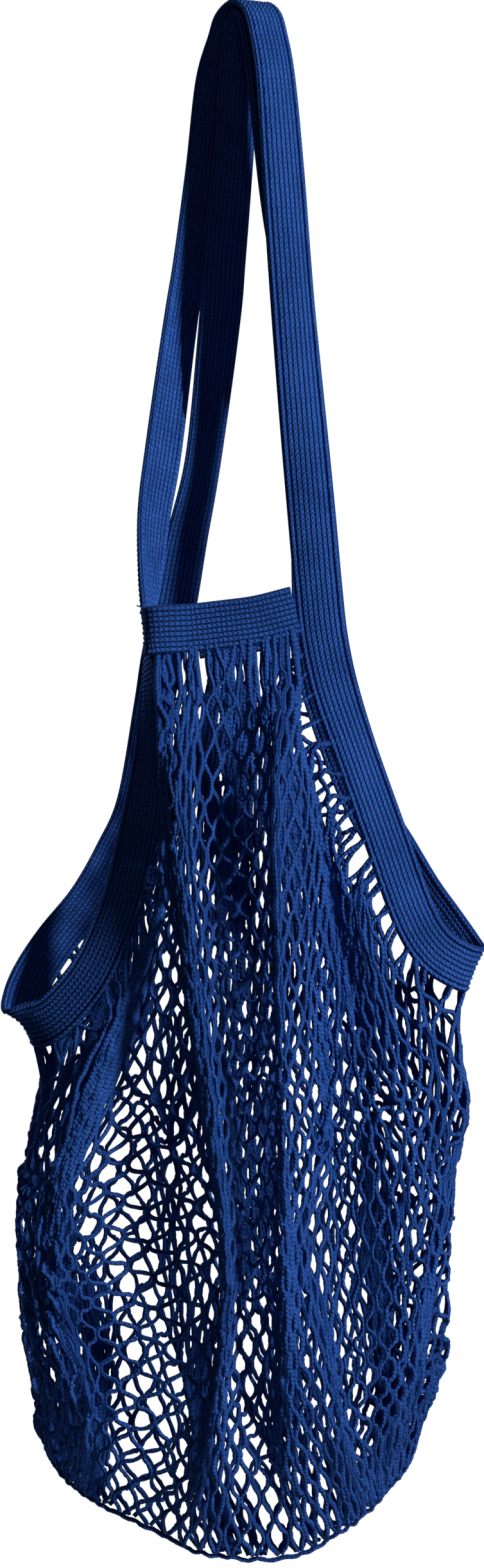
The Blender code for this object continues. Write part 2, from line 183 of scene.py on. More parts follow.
# The ring's centre line, and the direction from the edge that the net hangs from to the free edge. The
# right handle, the inner left handle and the left front scoop are turned a little further than the solid.
RING = [
    ((-1.0, 0.0, 5.6), (0.80, 0.60, 0.0)),
    ((-8.2, 9.0, 0.0), (0.80, 0.60, 0.0)),
    ((-12.0, 13.0, -11.0), (0.80, 0.60, 0.0)),
    ((-18.5, 16.0, -34.0), (0.80, 0.60, 0.0)),
    ((-24.0, 17.0, -79.0), (0.76, 0.65, 0.0)),
    ((-31.0, 15.0, -126.0), (0.68, 0.73, 0.0)),
    ((-36.3, 11.0, -159.0), (0.66, 0.75, 0.0)),
    ((-45.0, -3.0, -226.0), (0.72, 0.69, 0.0)),
    ((-49.7, -10.0, -259.0), (0.64, 0.77, 0.0)),
    ((-51.5, -15.0, -289.0), (0.45, 0.89, 0.0)),
    ((-52.7, -18.0, -312.0), (0.15, 0.99, 0.0)),
    ((-51.8, -19.5, -334.0), (-0.15, 0.99, 0.0)),
    ((-50.7, -22.0, -352.0), (-0.45, 0.89, 0.0)),
    ((-50.3, -24.0, -376.0), (-0.68, 0.73, 0.0)),
    ((-52.8, -26.0, -397.0), (-0.74, 0.66, 0.10)),
    ((-57.0, -26.0, -422.0), (-0.83, 0.54, 0.14)),
    ((-63.7, -25.0, -452.0), (-0.85, 0.50, 0.18)),
    ((-72.0, -23.0, -476.0), (-0.82, 0.45, 0.34)),
    ((-83.3, -21.0, -499.0), (-0.74, 0.36, 0.57)),
    ((-100.0, -15.0, -518.5), (-0.47, 0.20, 0.86)),
    ((-111.5, -8.0, -524.5), (-0.48, 0.05, 0.87)),
    ((-118.5, 0.0, -523.0), (-0.68, 0.00, 0.73)),
    ((-118.0, 7.0, -514.0), (-0.75, -0.20, 0.60)),
    ((-113.3, 12.0, -500.0), (-0.75, -0.45, 0.45)),
    ((-101.7, 18.0, -481.7), (-0.72, -0.50, 0.40)),
    ((-84.7, 22.0, -460.0), (-0.70, -0.55, 0.35)),
    ((-71.3, 24.0, -435.7), (-0.68, -0.60, 0.30)),
    ((-60.0, 25.0, -409.0), (-0.70, -0.62, 0.20)),
    ((-50.5, 26.0, -359.0), (-0.80, -0.55, 0.10)),
    ((-46.0, 26.0, -332.0), (-0.86, -0.50, 0.0)),
    ((-39.7, 26.0, -307.0), (-0.90, -0.42, 0.0)),
    ((-33.3, 22.0, -272.0), (-0.87, -0.49, 0.0)),
    ((-24.3, 15.0, -228.7), (-0.73, -0.68, 0.0)),
    ((-16.0, 9.0, -159.0), (-0.86, -0.51, 0.0)),
    ((-13.7, 9.0, -126.0), (-0.91, -0.42, 0.0)),
    ((-8.5, 10.0, -70.7), (-0.82, -0.57, 0.0)),
    ((-6.3, 9.0, -34.0), (-0.80, -0.60, 0.0)),
    ((-3.8, 5.5, -9.5), (-0.80, -0.60, 0.0)),
    ((0.5, 0.0, 1.5), (-0.80, -0.60, 0.0)),
    ((4.8, -5.5, -9.5), (-0.80, -0.60, 0.0)),
    ((8.3, -9.0, -36.0), (-0.80, -0.60, 0.0)),
    ((12.0, -9.5, -70.7), (-0.80, -0.60, 0.0)),
    ((16.0, -7.0, -110.0), (-0.70, -0.71, 0.0)),
    ((22.0, -2.0, -160.0), (-0.35, -0.94, 0.0)),
    ((27.0, 5.0, -210.0), (0.20, -0.98, 0.0)),
    ((30.0, 14.0, -255.0), (0.60, -0.80, 0.0)),
    ((32.0, 22.0, -290.0), (0.83, -0.56, 0.0)),
    ((34.0, 25.0, -318.0), (0.90, -0.42, 0.0)),
    ((38.0, 26.0, -350.0), (0.88, -0.42, 0.15)),
    ((56.7, 25.0, -402.0), (0.83, -0.40, 0.35)),
    ((76.0, 22.0, -435.0), (0.80, -0.35, 0.50)),
    ((88.5, 19.0, -456.0), (0.80, -0.35, 0.52)),
    ((99.0, 16.0, -471.0), (0.78, -0.32, 0.55)),
    ((110.0, 9.5, -487.0), (0.60, -0.15, 0.80)),
    ((115.5, 0.0, -495.0), (0.38, 0.00, 0.92)),
    ((109.0, -9.0, -494.0), (0.37, 0.08, 0.93)),
    ((95.0, -15.5, -484.5), (0.58, 0.18, 0.79)),
    ((83.7, -19.0, -465.7), (0.80, 0.30, 0.50)),
    ((69.2, -23.0, -425.7), (0.87, 0.35, 0.33)),
    ((53.3, -26.0, -381.0), (0.88, 0.36, 0.30)),
    ((43.5, -27.0, -351.0), (0.95, 0.16, 0.22)),
    ((38.0, -27.0, -325.7), (0.99, 0.06, 0.10)),
    ((35.0, -27.0, -300.0), (1.0, 0.03, 0.0)),
    ((31.3, -27.0, -259.0), (0.99, 0.08, 0.0)),
    ((22.3, -24.0, -159.0), (0.92, 0.38, 0.0)),
    ((16.8, -20.0, -84.0), (0.88, 0.45, 0.0)),
    ((12.8, -16.5, -34.0), (0.82, 0.57, 0.0)),
    ((8.8, -12.5, -10.0), (0.80, 0.60, 0.0)),
    ((5.4, -8.2, 1.0), (0.80, 0.60, 0.0)),
]

# The loose end of sewing thread where the front band meets the tape, and its thickness
THREAD_TAIL = [(-54.6, -29.5, -309.6), (-55.6, -30.6, -308.9), (-56.9, -31.8, -308.5), (-58.4, -32.4, -308.0)]
THREAD_DIAMETER = 0.7
THREAD_STEPS = 13

# How far the tape curls outward between its edges, at places in the ring's list, and on the bands
BULGE_PLACES = (0.0, 3.0, 8.0, 12.0, 22.0, 27.0, 35.0, 38.0, 42.0, 50.0, 56.0, 60.0, 64.0, 66.0, 70.0)
BULGES = (0.0, 0.8, 1.2, 1.0, 0.0, 0.8, 1.0, 0.0, 1.0, 1.0, 0.0, 1.6, 2.6, 1.2, 0.0)
BAND_BULGE = 0.8

# Places in the ring's list where its net edge passes from one border of the net to the next
FRONT_LEFT = 11.25
LEFT_TIP = 21.0
BACK_LEFT = 28.8
BACK_RIGHT = 47.4
RIGHT_TIP = 54.0
FRONT_RIGHT = 60.95

# Centre lines of the two mouth bands, from left to right as seen from the front, and the place that the
# front band's left end turns back to
FRONT_BAND = [
    (-53.6, -33.4, -321.5),
    (-29.3, -35.0, -319.5),
    (-14.7, -35.4, -317.8),
    (2.7, -35.2, -315.5),
    (23.2, -33.4, -310.4),
]
BAND_WRAP = (-54.9, -30.2, -322.2)
BACK_BAND = [
    (-27.9, 33.4, -321.5),
    (-12.0, 34.4, -319.6),
    (6.0, 34.0, -317.4),
    (19.8, 33.0, -315.0),
]

# The border of the net is shared out in columns: where each stretch of it starts
COLUMNS_AROUND = 60
BORDER_COLUMNS = (0.0, 12.0, 21.0, 30.0, 42.0, 51.0, 60.0)

# Share of the way down from the border to the bottom at which each guide's points lie
LEVELS = (0.15, 0.32, 0.50, 0.68, 0.85)

# How the net hangs: for some of the columns, the place of the strand at each level
GUIDES = {
    0.0: ((-46, -38, -405), (-40, -44, -484), (-30, -46, -567), (-18, -43, -650), (-30, -38, -728)),
    2.0: ((-36, -48, -405), (-31, -56, -486), (-22, -57, -569), (-13, -55, -653), (-20, -45, -734)),
    4.0: ((-26, -46, -405), (-21, -52, -486), (-14, -54, -570), (-9, -51, -654), (-12, -43, -735)),
    6.0: ((-14, -20, -404), (-12, -6, -485), (-6, -2, -569), (-3, -8, -653), (-3, -32, -734)),
    7.5: ((-3, -19, -403), (1, -5, -484), (5, -2, -568), (6, -9, -652), (8, -32, -733)),
    9.0: ((8, -43, -403), (9, -49, -484), (12, -50, -567), (12, -47, -651), (18, -42, -731)),
    11.0: ((16, -50, -402), (17, -57, -482), (20, -58, -565), (20, -54, -647), (28, -42, -725)),
    12.3: ((30, -38, -403), (28, -36, -490), (30, -36, -572), (32, -44, -650), (38, -41, -726)),
    13.5: ((37, -28, -428), (32, -25, -500), (39, -26, -580), (42, -34, -658), (48, -38, -726)),
    15.5: ((44, -20, -470), (54, -24, -530), (60, -32, -595), (63, -38, -665), (66, -34, -722)),
    18.0: ((70, -24, -525), (80, -32, -570), (85, -36, -620), (85, -35, -672), (83, -24, -716)),
    21.0: ((113, -2, -562), (107, -2, -592), (104, -1, -630), (103, 0, -662), (100, 0, -690)),
    24.0: ((72, 30, -520), (82, 36, -568), (86, 38, -620), (85, 35, -672), (83, 22, -716)),
    27.5: ((34, 38, -440), (46, 42, -505), (52, 46, -580), (52, 45, -655), (58, 31, -724)),
    30.0: ((20, 36, -402), (26, 40, -482), (32, 44, -565), (34, 46, -648), (40, 33, -728)),
    33.0: ((8, 34, -404), (10, 38, -485), (14, 42, -569), (14, 45, -653), (18, 33, -735)),
    36.0: ((-6, 34, -404), (-6, 39, -485), (-6, 43, -569), (-6, 45, -653), (-4, 33, -736)),
    39.0: ((-16, 35, -404), (-20, 40, -485), (-24, 44, -569), (-24, 46, -653), (-25, 33, -735)),
    42.0: ((-30, 34, -403), (-38, 40, -484), (-44, 44, -567), (-46, 45, -650), (-47, 33, -728)),
    44.5: ((-50, 32, -440), (-62, 38, -505), (-70, 42, -580), (-72, 40, -655), (-71, 27, -722)),
    48.0: ((-84, 26, -520), (-94, 32, -572), (-99, 34, -628), (-99, 31, -682), (-97, 19, -726)),
    51.0: ((-113, 0, -575), (-118, 0, -610), (-120, 0, -648), (-118, 0, -684), (-113, 0, -712)),
    54.0: ((-82, -27, -546), (-95, -31, -589), (-104, -34, -635), (-105, -33, -681), (-98, -21, -726)),
    56.5: ((-55, -26, -502), (-70, -25, -557), (-84, -33, -615), (-88, -36, -672), (-83, -31, -726)),
    58.5: ((-47, -27, -462), (-55, -14, -526), (-60, -12, -594), (-55, -20, -662), (-62, -35, -726)),
}

# Where the front and the back meet along the bottom: places across and heights, by the columns counted
# from the left tip to the right tip
BOTTOM = {
    0.0: (-108, -733),
    1.5: (-104, -749),
    3.0: (-96, -760),
    5.5: (-79, -773),
    7.5: (-63, -781),
    9.0: (-50, -787),
    11.0: (-31, -797),
    13.0: (-12, -801),
    15.0: (5, -802),
    18.0: (30, -798),
    20.0: (45, -789),
    22.5: (61, -777),
    24.5: (72, -765),
    27.0: (83, -750),
    28.5: (88, -734),
    30.0: (95, -707),
}


def unit(v):
    """The vectors along the last axis at length 1."""
    return v / np.maximum(np.linalg.norm(v, axis=-1, keepdims=True), 1e-9)


def hermite(knots, values, at):
    """A smooth curve through values at increasing knots, read at the places in at."""
    knots = np.asarray(knots, float)
    values = np.asarray(values, float)
    step = np.diff(knots)[:, None]
    slope = np.diff(values, axis=0) / step
    tangent = np.empty_like(values)
    tangent[0] = slope[0]
    tangent[-1] = slope[-1]
    weight = step[1:] / (step[1:] + step[:-1])
    tangent[1:-1] = weight * slope[:-1] + (1.0 - weight) * slope[1:]
    i = np.clip(np.searchsorted(knots, at, side="right") - 1, 0, len(knots) - 2)
    h = step[i]
    s = ((at - knots[i]) / step[i, 0])[:, None]
    return (
        values[i] * (1 + 2 * s) * (1 - s) ** 2
        + tangent[i] * h * s * (1 - s) ** 2
        + values[i + 1] * s * s * (3 - 2 * s)
        - tangent[i + 1] * h * s * s * (1 - s)
    )


def around(knots, values, period, at):
    """A smooth closed curve through values at knots, which repeats after period."""
    knots = np.asarray(knots, float)
    values = np.asarray(values, float)
    turns = (-period, 0.0, period)
    return hermite(
        np.concatenate([knots + turn for turn in turns]),
        np.concatenate([values] * 3),
        np.mod(at, period),
    )


def ring_at(places):
    """Centre, direction along the tape and direction to the free edge, at places in the ring's list."""
    places = np.asarray(places, float)
    count = len(RING)
    index = np.arange(count)
    centres = np.array([centre for centre, _ in RING])
    widths = np.array([width for _, width in RING])
    centre = around(index, centres, count, places)
    ahead = around(index, centres, count, places + 0.01)
    behind = around(index, centres, count, places - 0.01)
    along = unit(ahead - behind)
    across = around(index, widths, count, places)
    across = unit(across - along * (along * across).sum(axis=1, keepdims=True))
    return centre, along, across


def band_at(centres, shares):
    """Centre, direction along and direction up of a mouth band, at shares of its length."""
    centres = np.array(centres)
    run = np.concatenate([[0.0], np.cumsum(np.linalg.norm(np.diff(centres, axis=0), axis=1))])
    run /= run[-1]
    shares = np.asarray(shares, float)
    centre = hermite(run, centres, shares)
    along = unit(hermite(run, centres, shares + 0.01) - hermite(run, centres, shares - 0.01))
    up = np.array([0.0, 0.0, 1.0]) - along * along[:, 2:3]
    return centre, along, unit(up)


def border_at(columns):
    """The net's upper border, just clear of the bands and the ring, and the way that the net leaves it."""
    columns = np.mod(np.asarray(columns, float), COLUMNS_AROUND)
    reach = TAPE_WIDTH / 2 + SEAM_GAP + NET_THICKNESS / 2
    stretches = (
        ("band", FRONT_BAND, BAND_INSET, 1.0 - BAND_INSET),
        ("ring", None, FRONT_RIGHT, RIGHT_TIP),
        ("ring", None, RIGHT_TIP, BACK_RIGHT),
        ("band", BACK_BAND, 1.0 - BAND_INSET, BAND_INSET),
        ("ring", None, BACK_LEFT, LEFT_TIP),
        ("ring", None, LEFT_TIP, FRONT_LEFT),
    )
    points = np.empty((len(columns), 3))
    leaving = np.empty((len(columns), 3))
    for (kind, band, start, end), low, high in zip(stretches, BORDER_COLUMNS, BORDER_COLUMNS[1:]):
        inside = (columns >= low) & (columns < high)
        share = (columns[inside] - low) / (high - low)
        if kind == "band":
            centre, _, across = band_at(band, start + (end - start) * share)
        else:
            fine = np.linspace(start, end, 200)
            path = ring_at(fine)[0]
            run = np.concatenate([[0.0], np.cumsum(np.linalg.norm(np.diff(path, axis=0), axis=1))])
            centre, _, across = ring_at(np.interp(share * run[-1], run, fine))
        points[inside] = centre - across * reach
        leaving[inside] = -across
    return points, leaving


def bottom_at(columns):
    """The net's bottom, where a front column and a back column end at the same place, a fold apart."""
    from_left = np.mod(np.asarray(columns, float) - LEFT_COLUMN, COLUMNS_AROUND)
    half = COLUMNS_AROUND / 2
    at = np.minimum(from_left, COLUMNS_AROUND - from_left)
    place = hermite(sorted(BOTTOM), [BOTTOM[k] for k in sorted(BOTTOM)], at)
    side = np.sign(from_left - half) * np.minimum(np.minimum(at, half - at) / 2.0, 1.0)
    return np.stack([place[:, 0], side * BOTTOM_FOLD / 2, place[:, 1]], axis=1)


def net_stations(columns):
    """Points from the border to the bottom that each column hangs through, and their shares of the way."""
    knots = sorted(GUIDES)
    table = np.array([GUIDES[k] for k in knots], float)
    border, leaving = border_at(columns)
    stations = [border, border + leaving * HEM_LENGTH]
    for level in range(len(LEVELS)):
        stations.append(around(knots, table[:, level], COLUMNS_AROUND, columns))
    stations.append(bottom_at(columns))
    return np.stack(stations, axis=1), np.array((0.0, HEM_SHARE) + LEVELS + (1.0,))


def wander(chance, rows, count, row_step, count_step):
    """A smooth random field between about -1 and 1 on a grid of rows and columns that closes round."""
    low_rows = max(int(rows / row_step) + 2, 3)
    low_count = max(int(round(count / count_step)), 3)
    coarse = chance.normal(0.0, 0.6, (low_rows, low_count))
    at_rows = np.linspace(0.0, low_rows - 1.0, rows)
    at_count = np.arange(count) * low_count / count
    fine = hermite(np.arange(low_rows), coarse, at_rows)
    return around(np.arange(low_count), fine.T, low_count, at_count).T


def place_of(steps):
    """Where half columns of the knitted net lie, in the columns that the guides count."""
    return np.interp(np.mod(np.asarray(steps) / 2.0, NET_COLUMNS), NET_PLACES, GUIDE_PLACES)


def clump(steps):
    """How far half columns gather into small groups near the tapes, which leaves slits between the groups."""
    slow = np.sin(2.0 * math.pi * steps / (CLUMP_BEAT * CLUMP_PERIOD))
    return CLUMPING * np.sin(2.0 * math.pi * steps / CLUMP_PERIOD + CLUMP_SWAY * slow)


def hanging_knots():
    """Knots on the net's hanging surface by row and half column, and each half column's first row."""
    chance = np.random.default_rng(SEED)
    count = 2 * NET_COLUMNS
    rows = HALF_ROWS + 1
    columns = place_of(np.arange(count))
    stations, runs = net_stations(columns)
    fine = np.linspace(0.0, 1.0, 80)
    length = np.array([
        np.linalg.norm(np.diff(hermite(runs, points, fine), axis=0), axis=1).sum() for points in stations
    ])
    first = HALF_ROWS * (1.0 - length / length.max()) * TRIM
    below = np.arange(rows)[:, None] - first
    drift = wander(chance, rows, count, *BUNCH_SPREAD) * BUNCHING
    drift[:, : 2 * PLEAT_COLUMNS] *= PLEAT_CALM
    growth = BUNCH_TOP + BUNCH_GROWTH * np.arange(rows)[:, None] / rows
    drift *= np.clip(below / BUNCH_FADE, 0.0, 1.0) * growth
    drift += clump(np.arange(count)) / 2.0 * np.clip(1.0 - below / CLUMP_FADE, 0.0, 1.0)
    lift = wander(chance, rows, count, *ROW_SPREAD) * ROW_DRIFT
    lift *= np.clip(below / ROW_FADE, 0.0, 1.0)
    lift *= np.clip(np.arange(rows)[::-1, None] / BOTTOM_FADE, 0.0, 1.0)
    places = np.empty((rows, count, 3))
    for step in range(count):
        share = np.clip((below[:, step] + lift[:, step]) / (HALF_ROWS - first[step]), 0.0, 1.0)
        near, _ = net_stations(columns[step] + drift[:, step])
        own = np.arange(rows)
        places[:, step] = np.stack([hermite(runs, near[row], share[row : row + 1])[0] for row in own])
    return places, first


def slit_rows(count):
    """How many rows each strand passes below its border before its first knot: more under the mouth bands."""
    chance = np.random.default_rng(SEED + 3)
    at = place_of(np.arange(count) + 0.5)
    banded = (at < BORDER_COLUMNS[1]) | ((at > BORDER_COLUMNS[3]) & (at < BORDER_COLUMNS[4]))
    return np.where(banded, chance.uniform(0.0, SLIT_ROWS, count), 0.0)


def net_links():
    """Every knot and border end of the net: places, strands as lists of them, and which ones are held."""
    places, first = hanging_knots()
    rows, count = places.shape[:2]
    number = {}
    points = []
    held = []

    def knot(row, step):
        if (row, step) not in number:
            number[row, step] = len(points)
            points.append(places[row, step])
            held.append(row == rows - 1)
        return number[row, step]

    chance = np.random.default_rng(SEED + 4)
    slit = slit_rows(count)
    strands = []
    for strand in range(count):
        visits = []
        for row in range(rows):
            step = strand if (strand + row) % 2 == 0 else (strand + 1) % count
            if row >= first[step] + FIRST_KNOT + slit[strand]:
                visits.append((row, step))
        row, step = visits[0]
        other = strand + (strand + 1) % count - step
        part = min(1.0, row - first[step]) * 0.5
        turn = (other - step + count // 2) % count - count // 2
        end = step + part * turn
        end += clump(end) + chance.normal(0.0, BORDER_JITTER)
        border, leaving = border_at(place_of([end]))
        number["end", strand] = len(points)
        points.append(border[0] - leaving[0] * TUCK)
        held.append(True)
        strands.append([number["end", strand]] + [knot(*visit) for visit in visits])
    return np.array(points), strands, np.array(held)


def relaxed(points, strands, held):
    """The knots after each cord between them has pulled or pushed towards its own length."""
    chance = np.random.default_rng(SEED + 1)
    links = np.array([pair for strand in strands for pair in zip(strand, strand[1:])])
    home = points.copy()
    now = points.copy()
    length = np.linalg.norm(home[links[:, 0]] - home[links[:, 1]], axis=1)
    rest = np.clip(length, CORD_SHORTEST, CORD_LONGEST)
    rest = rest * chance.normal(1.0, CORD_VARIATION, len(rest))
    ends = held[links].any(axis=1)
    rest[ends] = length[ends]
    low = 1.0 + BOTTOM_UNEVENNESS * np.clip((LOW_HEIGHT - home[:, 2:]) / LOW_BLEND, 0.0, 1.0)
    now += np.where(held[:, None], 0.0, chance.normal(0.0, 1.0, now.shape) * UNEVENNESS * low)
    uses = np.bincount(links.ravel(), minlength=len(points)).astype(float)
    for _ in range(RELAX_STEPS):
        gap = now[links[:, 1]] - now[links[:, 0]]
        reach = np.linalg.norm(gap, axis=1)
        pull = gap * ((reach - rest) / np.maximum(reach, 1e-6) * 0.5)[:, None]
        move = np.zeros_like(now)
        np.add.at(move, links[:, 0], pull)
        np.add.at(move, links[:, 1], -pull)
        now += np.where(held[:, None], 0.0, move / np.maximum(uses, 1.0)[:, None] * RELAX_PULL)
        now += np.where(held[:, None], 0.0, (home - now) * HOLD)
    return now


def strand_paths():
    """Centre lines and thicknesses of the net's continuous strands, and of the cord along its bottom."""
    chance = np.random.default_rng(SEED + 2)
    points, strands, held = net_links()
    knots = relaxed(points, strands, held)
    plump = plumpness(knots, strands)
    paths = []
    for strand, fat in zip(strands, plump):
        places = knots[strand]
        step = np.diff(places, axis=0)
        reach = np.linalg.norm(step, axis=1)
        ahead = unit(step)
        before = np.concatenate([ahead[:1], ahead])
        after = np.concatenate([ahead, ahead[-1:]])
        corner = before - after
        sharp = np.linalg.norm(corner, axis=1, keepdims=True)
        aside = unit(corner) * KNOT_SPREAD * np.minimum(sharp * 2.0, 1.0)
        room = np.minimum(KNOT_LENGTH / 2.0, np.concatenate([reach[:1], reach]) * KNOT_ROOM)[:, None]
        down = unit(before + after)
        enter = places - aside - down * room
        leave = places - aside + down * room
        between = (leave[:-1] + enter[1:]) / 2.0 + chance.normal(0.0, CORD_BEND, step.shape)
        middle = np.stack([enter[:-1], leave[:-1], between], axis=1).reshape(-1, 3)
        middle = np.concatenate([middle, enter[-1:]])
        index = np.arange(len(middle), dtype=float)
        fine = np.linspace(0.0, len(middle) - 1.0, (len(strand) - 1) * RINGS_PER_ROW + 1)
        path = hermite(index, middle, fine)
        path += chance.normal(0.0, 1.0, path.shape) * CORD_WOBBLE
        radii = CORD_DIAMETER / 2.0 * (1.0 + chance.normal(0.0, CORD_LUMPS, len(path)))
        radii *= np.interp(fine / fine[-1], np.linspace(0.0, 1.0, len(fat)), fat)
        paths.append((path, radii))
    paths.append(bottom_cord(chance))
    return paths


def plumpness(knots, strands):
    """How much thicker each strand is along its way: slack cord in a bunch is plumper than stretched cord."""
    rows = max(len(strand) for strand in strands)
    grid = np.full((len(strands), rows, 3), np.nan)
    for number, strand in enumerate(strands):
        grid[number, rows - len(strand) :] = knots[strand]
    gap = np.linalg.norm(np.roll(grid, -2, axis=0) - np.roll(grid, 2, axis=0), axis=2) / 4.0
    gap = np.where(np.isnan(gap), BUNCH_GAP, gap)
    more = 1.0 + CORD_PLUMPING * np.clip((BUNCH_GAP - gap) / BUNCH_RANGE, 0.0, 1.0)
    plump = [more[number, rows - len(strand) :] for number, strand in enumerate(strands)]
    return [fat + TOP_PLUMPING * np.clip(1.0 - np.arange(len(fat)) / TOP_FADE, 0.0, 1.0) for fat in plump]


def bottom_cord(chance):
    """The cord that joins the front and the back along the bottom, with a little slack between knots."""
    left = 2 * np.interp(LEFT_COLUMN, GUIDE_PLACES, NET_PLACES)
    columns = place_of(np.arange(left, left + NET_COLUMNS + 1))
    knots = bottom_at(columns) * np.array([1.0, 0.0, 1.0])
    knots[1::2, 2] -= chance.uniform(*BOTTOM_SLACK, len(knots[1::2]))
    knots[:, 1] += chance.normal(0.0, 0.5, len(knots))
    fine = np.linspace(0.0, len(knots) - 1.0, (len(knots) - 1) * RINGS_PER_ROW // 2)
    path = hermite(np.arange(len(knots)), knots, fine)
    path += chance.normal(0.0, 1.0, path.shape) * CORD_WOBBLE
    return path, CORD_DIAMETER / 2.0 * (1.0 + chance.normal(0.0, CORD_LUMPS, len(path)))


def mesh_piece(name, mesh, material, *nodes):
    """Shows a finished mesh as a piece that rides on the bag and stands for some CAD nodes."""
    mesh.name = name
    for face in mesh.polygons:
        face.use_smooth = True
    mesh.materials.clear()
    mesh.materials.append(material)
    piece = bpy.data.objects.new(name, mesh)
    bpy.context.collection.objects.link(piece)
    if nodes:
        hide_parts(*nodes)
    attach(piece, "root")
    return piece


def cord_mesh(name, paths):
    """One mesh of round cords along paths, with a UV map of turns round and metres along."""
    curve = bpy.data.curves.new(name, "CURVE")
    curve.dimensions = "3D"
    curve.bevel_depth = MM
    curve.bevel_resolution = BEVEL_STEPS
    curve.twist_mode = "MINIMUM"
    for path, radii in paths:
        spline = curve.splines.new("POLY")
        spline.points.add(len(path) - 1)
        place = np.concatenate([path * MM, np.ones((len(path), 1))], axis=1)
        spline.points.foreach_set("co", place.ravel())
        spline.points.foreach_set("radius", np.asarray(radii, float))
    holder = bpy.data.objects.new(name + "_path", curve)
    bpy.context.collection.objects.link(holder)
    mesh = bpy.data.meshes.new_from_object(holder)
    bpy.data.objects.remove(holder)
    bpy.data.curves.remove(curve)
    work = bmesh.new()
    work.from_mesh(mesh)
    ends = [edge for edge in work.edges if edge.is_boundary]
    bmesh.ops.holes_fill(work, edges=ends, sides=0)
    work.to_mesh(mesh)
    work.free()
    add_cord_map(mesh, paths, 4 + 2 * BEVEL_STEPS)
    return mesh


def add_cord_map(mesh, paths, sides):
    """Writes the UV map of cords made by a round bevel: turns round, and metres along."""
    along = []
    turn = []
    for path, _ in paths:
        run = np.concatenate([[0.0], np.cumsum(np.linalg.norm(np.diff(path, axis=0), axis=1))]) * MM
        along.append(np.repeat(run, sides))
        turn.append(np.tile(np.arange(sides), len(path)))
    along = np.concatenate(along)
    turn = np.concatenate(turn)
    if len(along) != len(mesh.vertices):
        raise ValueError(f"{mesh.name}: {len(mesh.vertices)} points, and {len(along)} were expected")
    corners = np.empty(len(mesh.loops), int)
    mesh.loops.foreach_get("vertex_index", corners)
    sizes = np.empty(len(mesh.polygons), int)
    mesh.polygons.foreach_get("loop_total", sizes)
    face = np.repeat(np.arange(len(sizes)), sizes)
    at = turn[corners]
    highest = np.zeros(len(sizes), int)
    np.maximum.at(highest, face, at)
    wraps = (highest[face] == sides - 1) & (at == 0) & (sizes[face] == 4)
    at = np.where(wraps, sides, at)
    layer = mesh.uv_layers.new(name="knit")
    layer.data.foreach_set("uv", np.stack([at / sides, along[corners]], axis=1).ravel())


def tape_section(groove, roll):
    """The tape's section, as offsets across and heights: ridged wales, hem grooves and rolled edges."""
    edge = TAPE_WIDTH / 2.0
    steps = 2 * TAPE_WALES
    across = np.linspace(-edge + EDGE_INSET, edge - EDGE_INSET, steps + 1)
    ridge = np.where(np.arange(steps + 1) % 2 == 1, 1.0, 0.0)
    height = TAPE_THICKNESS / 2.0 - WALE_RELIEF * (1.0 - ridge)
    height[[0, -1]] = TAPE_THICKNESS * EDGE_SHARE
    height[[1, -2]] += roll
    height[[2, -3]] -= groove
    across = np.concatenate([across, [edge], across[::-1], [-edge]])
    height = np.concatenate([height, [0.0], -height[::-1], [0.0]])
    ridge = np.concatenate([ridge, [0.0], ridge[::-1], [0.0]])
    return across, height, ridge


def tape_mesh(name, frame_at, bulge_at, length, closed):
    """A knitted tape wrapped from a grid: the section goes round it, and frame_at carries it along."""
    hem = (HEM_GROOVE, EDGE_ROLL) if closed else (BAND_GROOVE, 0.0)
    across, height, ridge = tape_section(*hem)
    sides = len(across)
    rows = int(round(length / (LOOP_LENGTH / 2.0)))
    rows += rows % 2
    work = bmesh.new()
    bmesh.ops.create_grid(work, x_segments=sides, y_segments=rows, size=0.5)
    mesh = bpy.data.meshes.new(name)
    work.to_mesh(mesh)
    work.free()
    flat = np.empty(len(mesh.vertices) * 3)
    mesh.vertices.foreach_get("co", flat)
    flat = flat.reshape(-1, 3)
    side = np.rint((flat[:, 0] + 0.5) * sides).astype(int)
    row = np.rint((flat[:, 1] + 0.5) * rows).astype(int)
    centre, along, width = frame_at(np.arange(rows + 1) / rows)
    outward = np.cross(width, along)
    k = side % sides
    loop = np.where((row + k // 2) % 2 == 0, 1.0, -1.0) * ridge[k] * LOOP_RELIEF
    lift = height[k] + np.sign(height[k]) * loop
    lift += bulge_at(np.arange(rows + 1) / rows)[row] * (1.0 - (2.0 * across[k] / TAPE_WIDTH) ** 2)
    place = centre[row] + width[row] * across[k][:, None] + outward[row] * lift[:, None]
    mesh.vertices.foreach_set("co", (place * MM).ravel())
    corners = np.empty(len(mesh.loops), int)
    mesh.loops.foreach_get("vertex_index", corners)
    half = side[corners] / 2.0
    layer = mesh.uv_layers.new(name="knit")
    layer.data.foreach_set("uv", np.stack([half, row[corners] / 2.0], axis=1).ravel())
    work = bmesh.new()
    work.from_mesh(mesh)
    bmesh.ops.remove_doubles(work, verts=work.verts, dist=1e-7)
    if not closed:
        rims = [e for e in work.edges if e.is_boundary]
        bmesh.ops.holes_fill(work, edges=rims, sides=0)
    bmesh.ops.recalc_face_normals(work, faces=work.faces)
    work.to_mesh(mesh)
    work.free()
    return mesh


def even_places(shares):
    """Places in the ring's list at even shares of its real length, and that length."""
    fine = np.linspace(0.0, len(RING), len(RING) * 40 + 1)
    centre = ring_at(fine)[0]
    run = np.concatenate([[0.0], np.cumsum(np.linalg.norm(np.diff(centre, axis=0), axis=1))])
    return np.interp(np.asarray(shares) * run[-1], run, fine), run[-1]


def ring_frame(shares):
    """Centre, direction along and direction across of the ring, at shares of its length."""
    return ring_at(even_places(shares)[0])


def ring_bulge(shares):
    """How far the ring curls outward between its edges, at shares of its length."""
    return np.interp(even_places(shares)[0], BULGE_PLACES, BULGES)


